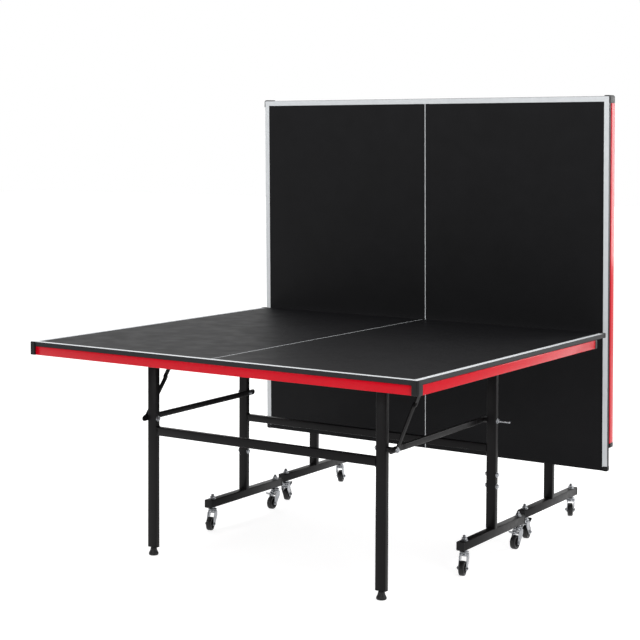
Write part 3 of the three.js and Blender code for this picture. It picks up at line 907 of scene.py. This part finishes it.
def ladder_mesh(places, y, wide, bottom, top, span):
    """Two uprights of tube with a crossbar welded between them."""
    bm = bmesh.new()
    left, right_end = places.values()
    for x in (left, right_end):
        upright(bm, wide, x, y, bottom, top)
    crossbar(bm, left + wide / 2, right_end - wide / 2, y, span)
    return bm


def foot_bar_mesh(x):
    bm = bmesh.new()
    size = FOOT_HIGH - FOOT_LOW
    middle = (FOOT_LOW + FOOT_HIGH) / 2
    low, high = BAR_ENDS[0] + 4 * MM, BAR_ENDS[1] - 4 * MM
    section = rounded_rectangle(size, size, TUBE_ROUND)
    bar(bm, section, (x, low, middle), (x, high, middle), X_AXIS, 0.5 * MM)
    collar = dense(rounded_rectangle(POST_WIDE - 6 * MM, TUBE_DEEP, TUBE_ROUND))
    weld(bm, collar, (x, POST_PIVOT.y, FOOT_HIGH), Z_AXIS, X_AXIS, 2 * MM)
    return bm


def tube_plug(bm, centre, direction, across, wide, deep, thick=4 * MM):
    """A moulded plug: a flange a hair larger than the tube, with a slightly crowned face."""
    start = Vector(centre)
    along = Vector(direction)
    outline = rounded_rectangle(wide, deep, 3.4 * MM, 4)
    second = along.cross(Vector(across))
    rings = []
    for travel, ease in ((0, 0.3), (0.1, 0), (0.55, 0), (0.8, 0.7), (0.95, 2.4), (1.0, 6.0)):
        spot = start + along * thick * travel
        rings.append([spot + Vector(across) * a + second * b for a, b in shrink(outline, ease * MM)])
    loft(bm, rings)


def foot_plugs_mesh(x):
    bm = bmesh.new()
    size = FOOT_HIGH - FOOT_LOW + 0.8 * MM
    middle = (FOOT_LOW + FOOT_HIGH) / 2
    tube_plug(bm, (x, BAR_ENDS[0] + 4 * MM, middle), -Y_AXIS, X_AXIS, size, size)
    tube_plug(bm, (x, BAR_ENDS[1] - 4 * MM, middle), Y_AXIS, X_AXIS, size, size)
    return bm


def leg_plugs_mesh():
    bm = bmesh.new()
    for x in LEG_X.values():
        base = (x, LEG_PIVOT.y, LEG_BOTTOM + 2.6 * MM)
        tube_plug(bm, base, -Z_AXIS, X_AXIS, LEG_WIDE + 0.8 * MM, TUBE_DEEP + 0.8 * MM, 2.6 * MM)
    return bm


for half in HALVES:
    carriage, legs = f"{half}_carriage", f"{half}_legs"
    rolled, stood = standing(half, "carriage"), standing(half, "legs")
    posts = ladder_mesh(POST_X, POST_PIVOT.y, POST_WIDE, FOOT_HIGH + 0.3 * MM, POST_TOP, POST_BAR)
    piece(f"{half}_post_tubes", posts, [BLACK], carriage, rolled, [f"{half}_post_frame"])
    uprights = ladder_mesh(LEG_X, LEG_PIVOT.y, LEG_WIDE, LEG_BOTTOM + 2.5 * MM, LEG_TOP, LEG_BAR)
    piece(f"{half}_leg_tubes", uprights, [BLACK], legs, stood, [f"{half}_leg_frame"])
    piece(f"{half}_leg_plugs", leg_plugs_mesh(), [PLASTIC], legs, stood)
    for side in SIDES:
        piece(f"{half}_{side}_foot_tube", foot_bar_mesh(POST_X[side]), [BLACK], carriage, rolled,
              [f"{half}_{side}_foot_bar"])
        piece(f"{half}_{side}_foot_plugs", foot_plugs_mesh(POST_X[side]), [PLASTIC], carriage, rolled)
print("frames, foot bars from", [round(y, 4) for y in BAR_ENDS])

# %% [markdown]
# ## Links and stays
# A link is round-cornered tube whose ends are pressed flat for the bolt: the section goes from ten
# millimetres thick to five over a short neck. The stays are flat bar with round ends, joined
# by a rivet at the knuckle.

# %% Links
LINK_TALL, LINK_THICK, LINK_FLAT, LINK_TAIL = 20 * MM, 10 * MM, 5 * MM, 30 * MM
LINK_NECK, LINK_TAPER = 45 * MM, 20 * MM


def smooth_step(value):
    value = min(max(value, 0), 1)
    return value * value * (3 - 2 * value)


def link_mesh(layout):
    """Stations along the bar: the height closes in a half circle at each end, the neck thins."""
    middle_x = layout["sign"] * sum(layout["link"]) / 2
    along = (LINK_AT_POST - LINK_AT_LEG).normalized()
    start = LINK_AT_LEG - along * LINK_TAIL
    length = (LINK_AT_POST - LINK_AT_LEG).length + 2 * LINK_TAIL
    second = along.cross(X_AXIS)
    radius = LINK_TALL / 2
    ends = [radius * (1 - math.cos(math.radians(a))) for a in (8, 20, 35, 50, 65, 80, 90)]
    neck = LINK_TAIL + LINK_NECK
    body = [neck + LINK_TAPER * i / 6 for i in range(7)]
    travels = ends + body
    travels += [length - t for t in reversed(travels)]
    rings = []
    for travel in travels:
        near = min(travel, length - travel)
        tall = 2 * math.sqrt(max(radius ** 2 - (radius - min(near, radius)) ** 2, 0))
        thick = LINK_FLAT + (LINK_THICK - LINK_FLAT) * smooth_step((near - neck) / LINK_TAPER)
        outline = rounded_rectangle(thick, tall, min(thick * 0.3, tall * 0.3))
        centre = start + along * travel + X_AXIS * middle_x
        rings.append([centre + X_AXIS * a + second * b for a, b in outline])
    bm = bmesh.new()
    loft(bm, rings)
    return bm


# %% Stays
STAY_WIDE = 17 * MM


def stay_mesh(layout, name, pin):
    """A flat bar with round ends from its pin to the knuckle, with the rivet's head on its own face."""
    sign = layout["sign"]
    inner, outer = layout[name]
    along = (KNUCKLE - pin).normalized()
    normal = Vector((0, -along.z, along.y))
    outline = []
    for centre, first in ((pin, 90), (KNUCKLE, -90)):
        for i in range(11):
            angle = math.radians(first + 18 * i)
            spot = centre + (along * math.cos(angle) + normal * math.sin(angle)) * STAY_WIDE / 2
            outline.append((spot.y, spot.z))
    bm = bmesh.new()
    low, high = sorted((sign * inner, sign * outer))
    bar(bm, outline, (low, 0, 0), (high, 0, 0), Y_AXIS, 0.5 * MM)
    on_outer = name == "upper_stay"
    x = outer if on_outer else inner
    direction = sign * X_AXIS if on_outer else -sign * X_AXIS
    rivet(bm, facing(Vector((sign * x, KNUCKLE.y, KNUCKLE.z)), direction), 6 * MM, 3 * MM)
    return bm


for half in HALVES:
    for side, layout in LAYOUT.items():
        piece(f"{half}_{side}_link_tube", link_mesh(layout), [BLACK], f"{half}_{side}_link",
              standing(half, "link"), [f"{half}_{side}_link"])
        for name, pin in (("lower_stay", LINK_AT_LEG), ("upper_stay", STAY_AT_TOP)):
            piece(f"{half}_{side}_{name}_bar", stay_mesh(layout, name, pin), [BLACK, ZINC],
                  f"{half}_{side}_{name}", standing(half, name, side),
                  [f"{half}_{side}_{name}"])
print("links and stays")

# %% [markdown]
# ## Pivot bolts and spacers
# Where a link or stay stands away from its tube, a sleeve fills the gap and a washer and nut close
# the stack. Each stack rides with the tube that its bolt is fixed to. The splice bolts and
# the shelf screws are rows, so Geometry Nodes make them.

# %% Stacks at the pivots
SLEEVE, NUT, NUT_TALL = 8 * MM, 7.5 * MM, 5 * MM


def at_x(sign, x, pin):
    return Vector((sign * x, pin.y, pin.z))


def stack_nut(bm, layout, x, pin, outward, radius=NUT, height=NUT_TALL, finish=PLAIN):
    sign = layout["sign"]
    direction = X_AXIS * sign * (1 if outward else -1)
    hex_nut(bm, facing(at_x(sign, x, pin), direction), radius, height, finish)


def sleeve(bm, layout, start, end, pin):
    sign = layout["sign"]
    low, high = sorted((start, end))
    place = facing(at_x(sign, low, pin), X_AXIS * sign)
    wall = high - low
    turned(bm, [(0, 0), (SLEEVE - 0.6 * MM, 0), (SLEEVE, 0.6 * MM), (SLEEVE, wall - 0.6 * MM),
                (SLEEVE - 0.6 * MM, wall), (0, wall)], place, 28, DARK)


def leg_bolts_mesh():
    bm = bmesh.new()
    for layout in LAYOUT.values():
        link_middle = sum(layout["link"]) / 2
        stack_nut(bm, layout, layout["leg"][0], LINK_AT_LEG, False)
        leg_face = layout["leg"][1]
        sleeve_end = max(link_middle - LINK_FLAT / 2 - 0.4 * MM, leg_face + 1.5 * MM)
        sleeve(bm, layout, leg_face, sleeve_end, LINK_AT_LEG)
        stack_nut(bm, layout, layout["lower_stay"][1] + 0.2 * MM, LINK_AT_LEG, True, NUT, 4.5 * MM)
    return bm


def post_bolts_mesh():
    bm = bmesh.new()
    for side, layout in LAYOUT.items():
        link_middle = sum(layout["link"]) / 2
        sleeve(bm, layout, link_middle + LINK_FLAT / 2 + 0.4 * MM, layout["post"][0], LINK_AT_POST)
        stack_nut(bm, layout, link_middle - LINK_FLAT / 2 - 0.2 * MM, LINK_AT_POST, False, NUT, 4.5 * MM)
        if side == "left":
            stack_nut(bm, layout, layout["post"][1], LINK_AT_POST, True)
    face = at_x(1, LAYOUT["right"]["post"][1], LINK_AT_POST)
    place = facing(face, X_AXIS)
    hex_nut(bm, place, 6.5 * MM, 5 * MM, PLAIN, tip=0)
    threaded(bm, place, 3.5 * MM, 49 * MM, 1.6 * MM, 0.6 * MM)
    return bm


def low_head(bm, layout, x, pin, radius, height):
    """A domed head facing inward, for a pivot that a bar passes close to as the top folds."""
    sign = layout["sign"]
    rivet(bm, facing(at_x(sign, x, pin), X_AXIS * -sign), radius, height, PLAIN)


def top_bolts_mesh():
    bm = bmesh.new()
    for layout in LAYOUT.values():
        post_in, post_out = layout["post"]
        leg_in, leg_out = layout["leg"]
        stay_out = layout["upper_stay"][1]
        if post_in - layout["link"][1] > 2 * NUT_TALL:
            stack_nut(bm, layout, post_in - 0.3 * MM, POST_PIVOT, False)
        else:
            low_head(bm, layout, post_in - 0.3 * MM, POST_PIVOT, NUT, 2.2 * MM)
        stack_nut(bm, layout, post_out + 4 * MM, POST_PIVOT, True)
        stack_nut(bm, layout, leg_in - 5.5 * MM, LEG_PIVOT, False)
        stack_nut(bm, layout, leg_out + 0.3 * MM, LEG_PIVOT, True, NUT, 3 * MM)
        stack_nut(bm, layout, stay_out + 4.5 * MM, STAY_AT_TOP, True, 6.5 * MM, 4 * MM, DARK)
        low_head(bm, layout, layout["upper_stay"][0] + 0.3 * MM, STAY_AT_TOP, 6.5 * MM, 0.9 * MM)
    return bm


# %% Rows of bolts and screws
SPLICE_LOW, SPLICE_HIGH = 262 * MM, 302 * MM


def splice_bolts(bm):
    """Two bolts through each post and the stub inside it."""
    for layout in LAYOUT.values():
        sign = layout["sign"]
        inner, outer = layout["post"]
        for x, turn in ((outer, OUT[sign]), (inner, OUT[-sign])):
            add_bolt_row(bm, Count=2, Start=(sign * x, POST_PIVOT.y, SPLICE_LOW),
                         End=(sign * x, POST_PIVOT.y, SPLICE_HIGH), Turn=turn,
                         Head_Radius=7 * MM, Head_Height=5 * MM)


def shelf_screws_mesh():
    """Small screws up through the shelf of each apron and the brackets, about every 170 mm."""
    bm = bmesh.new()
    z = RAIL_TOP - 1.8 * MM
    small = {"Turn": DOWN, "Head_Radius": 4 * MM, "Head_Height": 2.6 * MM}
    end_y = -LENGTH + END_INSET + 11 * MM
    end_x = HALF_WIDTH - 80 * MM
    add_bolt_row(bm, Count=9, Start=(-end_x, end_y, z), End=(end_x, end_y, z), **small)
    for side, layout in LAYOUT.items():
        x = layout["sign"] * (HALF_WIDTH - SIDE_INSET - 11 * MM)
        add_bolt_row(bm, Count=8, Start=(x, -LENGTH + 70 * MM, z), End=(x, -RAIL_NET_GAP - 30 * MM, z),
                     **small)
        strip_x = layout["sign"] * (layout["upper_stay"][1] + 20 * MM)
        strip_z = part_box(f"front_{side}_hinge_rail")[1].z - 3 * MM
        add_bolt_row(bm, Count=5, Start=(strip_x, LEG_PIVOT.y + 40 * MM, strip_z),
                     End=(strip_x, POST_PIVOT.y - 50 * MM, strip_z), **small)
    return bm


for half in HALVES:
    for name, make, part in (("leg_bolts", leg_bolts_mesh, "legs"), ("top_bolts", top_bolts_mesh, "top")):
        piece(f"{half}_{name}", make(), [ZINC, BLACK], f"{half}_{part}", standing(half, part),
              crease=30)
    bm = post_bolts_mesh()
    splice_bolts(bm)
    piece(f"{half}_post_bolts", bm, [ZINC, BLACK], f"{half}_carriage", standing(half, "carriage"),
          crease=30)
    piece(f"{half}_shelf_screws", shelf_screws_mesh(), [ZINC], f"{half}_top", standing(half, "top"),
          crease=30)
print("bolts and screws")

# %% [markdown]
# ## Levelling feet
# Each leg ends in a moulded foot on a threaded stem. The foot flares to the floor and is fluted, so
# that fingers can turn it.

# %% Levelling feet
def fluted(bm, profile, place, flutes=18, depth=0.07, steps=108):
    """Like turned, but the middle levels are cut with flutes. Profile is (radius, height, cut)."""
    rings = []
    for radius, height, cut in profile:
        ring = []
        for i in range(steps):
            angle = 2 * math.pi * i / steps
            r = radius * (1 - depth * cut * (0.5 + 0.5 * math.cos(flutes * angle)) ** 2)
            ring.append(place @ Vector((r * math.cos(angle), r * math.sin(angle), height)))
        rings.append(ring)
    loft(bm, rings)


FOOT_PROFILE = [(r * MM, z * MM, cut) for r, z, cut in (
    (12, 0, 0), (14.8, 0.4, 0), (16.4, 1.6, 0), (17, 3.4, 0.2), (17, 6, 0.8), (16.6, 8.4, 1), (15, 11.5, 1),
    (13, 15.5, 1), (11.7, 19.5, 1), (11.1, 23, 0.8), (10.9, 25, 0.2), (10.4, 25.9, 0), (9, 26.4, 0))]


def levelling_foot_mesh(x):
    bm = bmesh.new()
    spot = Matrix.Translation((x, LEG_PIVOT.y, 0))
    fluted(bm, FOOT_PROFILE, spot)
    turned(bm, [(0, 0), (5 * MM, 0), (5 * MM, 36 * MM), (4 * MM, 37 * MM), (0, 37 * MM)],
           spot @ Matrix.Translation((0, 0, 20 * MM)), 16, 1)
    return bm


for half in HALVES:
    for side in SIDES:
        piece(f"{half}_{side}_fluted_foot", levelling_foot_mesh(LEG_X[side]), [RUBBER, ZINC],
              f"{half}_{side}_foot", standing(half, "legs"),
              [f"{half}_{side}_levelling_foot"], crease=50)
print("levelling feet")

# %% [markdown]
# ## Casters
# A furniture caster is a pressed, zinc-plated fork under a ball-race head, held in the foot bar by a
# threaded stem and nut. The wheel runs between the cheeks, set back from the swivel so that it
# trails. Two casters of each half carry a brake: a bent pedal whose shoe is pressed on the tread.
# The matrix of each caster comes from its own swivel and wheel joints.

# %% Caster parts
WHEEL_RADIUS, TRAIL = 25 * MM, 22 * MM
CHEEK_IN, CHEEK_OUT, CROWN = 12 * MM, 14.5 * MM, 66 * MM
AXLE = Vector((0, -TRAIL, WHEEL_RADIUS))
CHEEK = softened([(y * MM, z * MM, r * MM) for y, z, r in (
    (14, 66, 2), (-15, 66, 3), (-31.5, 17.2, 8), (-13.5, 15.2, 8), (14, 51, 7))], 6)


def caster_place(half, side, end):
    swivel = Vector(JOINTS[f"{half}_{side}_{end}_swivel"]["pos_m"])
    roll = Vector(JOINTS[f"{half}_{side}_{end}_roll"]["pos_m"])
    back = Vector((swivel.x - roll.x, swivel.y - roll.y, 0)).normalized()
    turn = Matrix((back.cross(Z_AXIS), back, Z_AXIS)).transposed().to_4x4()
    return Matrix.Translation((swivel.x, swivel.y, 0)) @ turn


def fork_mesh():
    bm = bmesh.new()
    for inner, outer in ((CHEEK_IN, CHEEK_OUT), (-CHEEK_OUT, -CHEEK_IN)):
        bar(bm, CHEEK, (inner, 0, 0), (outer, 0, 0), Y_AXIS, 0.7 * MM)
    block(bm, (-CHEEK_OUT, CHEEK_OUT), (-15 * MM, 14 * MM), (CROWN - 2.5 * MM, CROWN + 0.2 * MM), 1.1 * MM)
    for direction in (X_AXIS, -X_AXIS):
        hex_nut(bm, facing(AXLE + direction * CHEEK_OUT, direction), 5.6 * MM, 3.6 * MM, washer=0.8 * MM,
                tip=1.2 * MM)
    head = [(0, 64.5), (15.5, 64.5), (17, 66), (17.2, 68.5), (16.4, 70.2), (14.6, 71), (14.8, 72.2),
            (16, 73.4), (16, 76), (14.6, 77.6), (11.5, 78.6), (10.6, 80), (10.6, 83.6), (0, 83.6)]
    turned(bm, [(r * MM, z * MM) for r, z in head], Matrix(), 36)
    turned(bm, [(0, 0), (3.4 * MM, 0), (3.4 * MM, 24 * MM), (0, 24 * MM)],
           along_x(AXLE - X_AXIS * 12 * MM), 16)
    return bm


def stem_mesh():
    """The threaded stem, and the nut and washer on the bar."""
    bm = bmesh.new()
    threaded(bm, Matrix.Translation((0, 0, 114 * MM)), 5.8 * MM, 17.6 * MM, 1.6 * MM, 0.7 * MM, 20)
    hex_nut(bm, Matrix.Translation((0, 0, FOOT_HIGH + 0.1 * MM)), 10 * MM, 8.5 * MM, tip=0)
    return bm


def wheel_mesh():
    """A tread with rounded shoulders on a hub with a raised boss and a recessed face."""
    bm = bmesh.new()
    place = along_x(AXLE)
    tread = [(17, -8), (18.5, -9.4), (21.5, -9.9), (23.6, -9), (24.8, -6.5), (25, -3.5), (25, 3.5),
             (24.8, 6.5), (23.6, 9), (21.5, 9.9), (18.5, 9.4), (17, 8), (16.5, 0), (17, -8)]
    ring(bm, [(r * MM, z * MM) for r, z in tread], place, 64, 0)
    hub = [(3.8, -10.9), (7.4, -10.9), (8.2, -10.2), (8.6, -6.8), (9.6, -5.6), (15, -5.6), (16.2, -7.6),
           (17.2, -8.2), (17.2, 8.2), (16.2, 7.6), (15, 5.6), (9.6, 5.6), (8.6, 6.8), (8.2, 10.2),
           (7.4, 10.9), (3.8, 10.9), (3.8, -10.9)]
    ring(bm, [(r * MM, z * MM) for r, z in hub], place, 40, 1)
    for i in range(5):
        spoke = Matrix.Rotation(2 * math.pi * i / 5, 4, "X")
        rib = bmesh.new()
        block(rib, (-7.6 * MM, 7.6 * MM), (8 * MM, 16.6 * MM), (-1.2 * MM, 1.2 * MM), 0.5 * MM, 1)
        rib.transform(Matrix.Translation(AXLE) @ spoke)
        add_bmesh(bm, rib)
    return bm


def ring(bm, profile, matrix, steps, material):
    """A closed profile spun about Z: the last point repeats the first."""
    levels = [[bm.verts.new(matrix @ Vector((x, y, height))) for x, y in circle(radius, steps)]
              for radius, height in profile[:-1]]
    faces = []
    for n, low in enumerate(levels):
        high = levels[(n + 1) % len(levels)]
        for i in range(steps):
            j = (i + 1) % steps
            faces.append(bm.faces.new((low[i], low[j], high[j], high[i])))
    for face in faces:
        face.material_index = material
    bmesh.ops.recalc_face_normals(bm, faces=faces)


def add_bmesh(bm, extra):
    mesh = bpy.data.meshes.new("extra")
    extra.to_mesh(mesh)
    extra.free()
    bm.from_mesh(mesh)
    bpy.data.meshes.remove(mesh)


PEDAL = softened([(y * MM, z * MM, r * MM) for y, z, r in (
    (-1, 53.2, 1), (-30, 55.8, 6), (-44, 60.2, 6), (-52.4, 66.4, 3), (-53.8, 69, 1), (-51.2, 70.3, 1),
    (-43, 63.6, 6), (-29.5, 58.7, 6), (-1, 58.8, 1.5))], 3)


def brake_mesh():
    bm = bmesh.new()
    half_width = 10.8 * MM
    bar(bm, PEDAL, (-half_width, 0, 0), (half_width, 0, 0), Y_AXIS, 0.6 * MM)
    pin = Vector((-half_width, -4 * MM, 56 * MM))
    turned(bm, [(0, 0), (3.5 * MM, 0), (3.5 * MM, 2 * half_width), (0, 2 * half_width)], along_x(pin), 18)
    block(bm, (-9 * MM, 9 * MM), (-25 * MM, -19 * MM), (54.7 * MM, 57.8 * MM), 0.8 * MM)
    for i in range(3):
        y = (-47.5 - 2.2 * i) * MM
        z = (63.6 + 1.7 * i) * MM
        block(bm, (-9 * MM, 9 * MM), (y - 0.7 * MM, y + 0.7 * MM), (z, z + 1.5 * MM), 0.3 * MM)
    return bm


# %% Casters in place
for half in HALVES:
    for side in SIDES:
        for end in CASTER_Y:
            name = f"{half}_{side}_{end}"
            place = caster_place(half, side, end)
            piece(f"{name}_fork_pressing", fork_mesh(), [ZINC], f"{name}_caster", place,
                  [f"{name}_caster_fork"], crease=40)
            piece(f"{name}_stem_nut", stem_mesh(), [ZINC], f"{name}_caster", place, crease=30)
            piece(f"{name}_tyre_and_hub", wheel_mesh(), [RUBBER, PLASTIC], f"{name}_wheel", place,
                  [f"{name}_caster_wheel"], crease=40)
            if end == "net":
                piece(f"{name}_brake_pedal", brake_mesh(), [ZINC], f"{half}_{side}_net_brake", place,
                      [f"{name}_brake_lever"], crease=40)
print("eight casters")
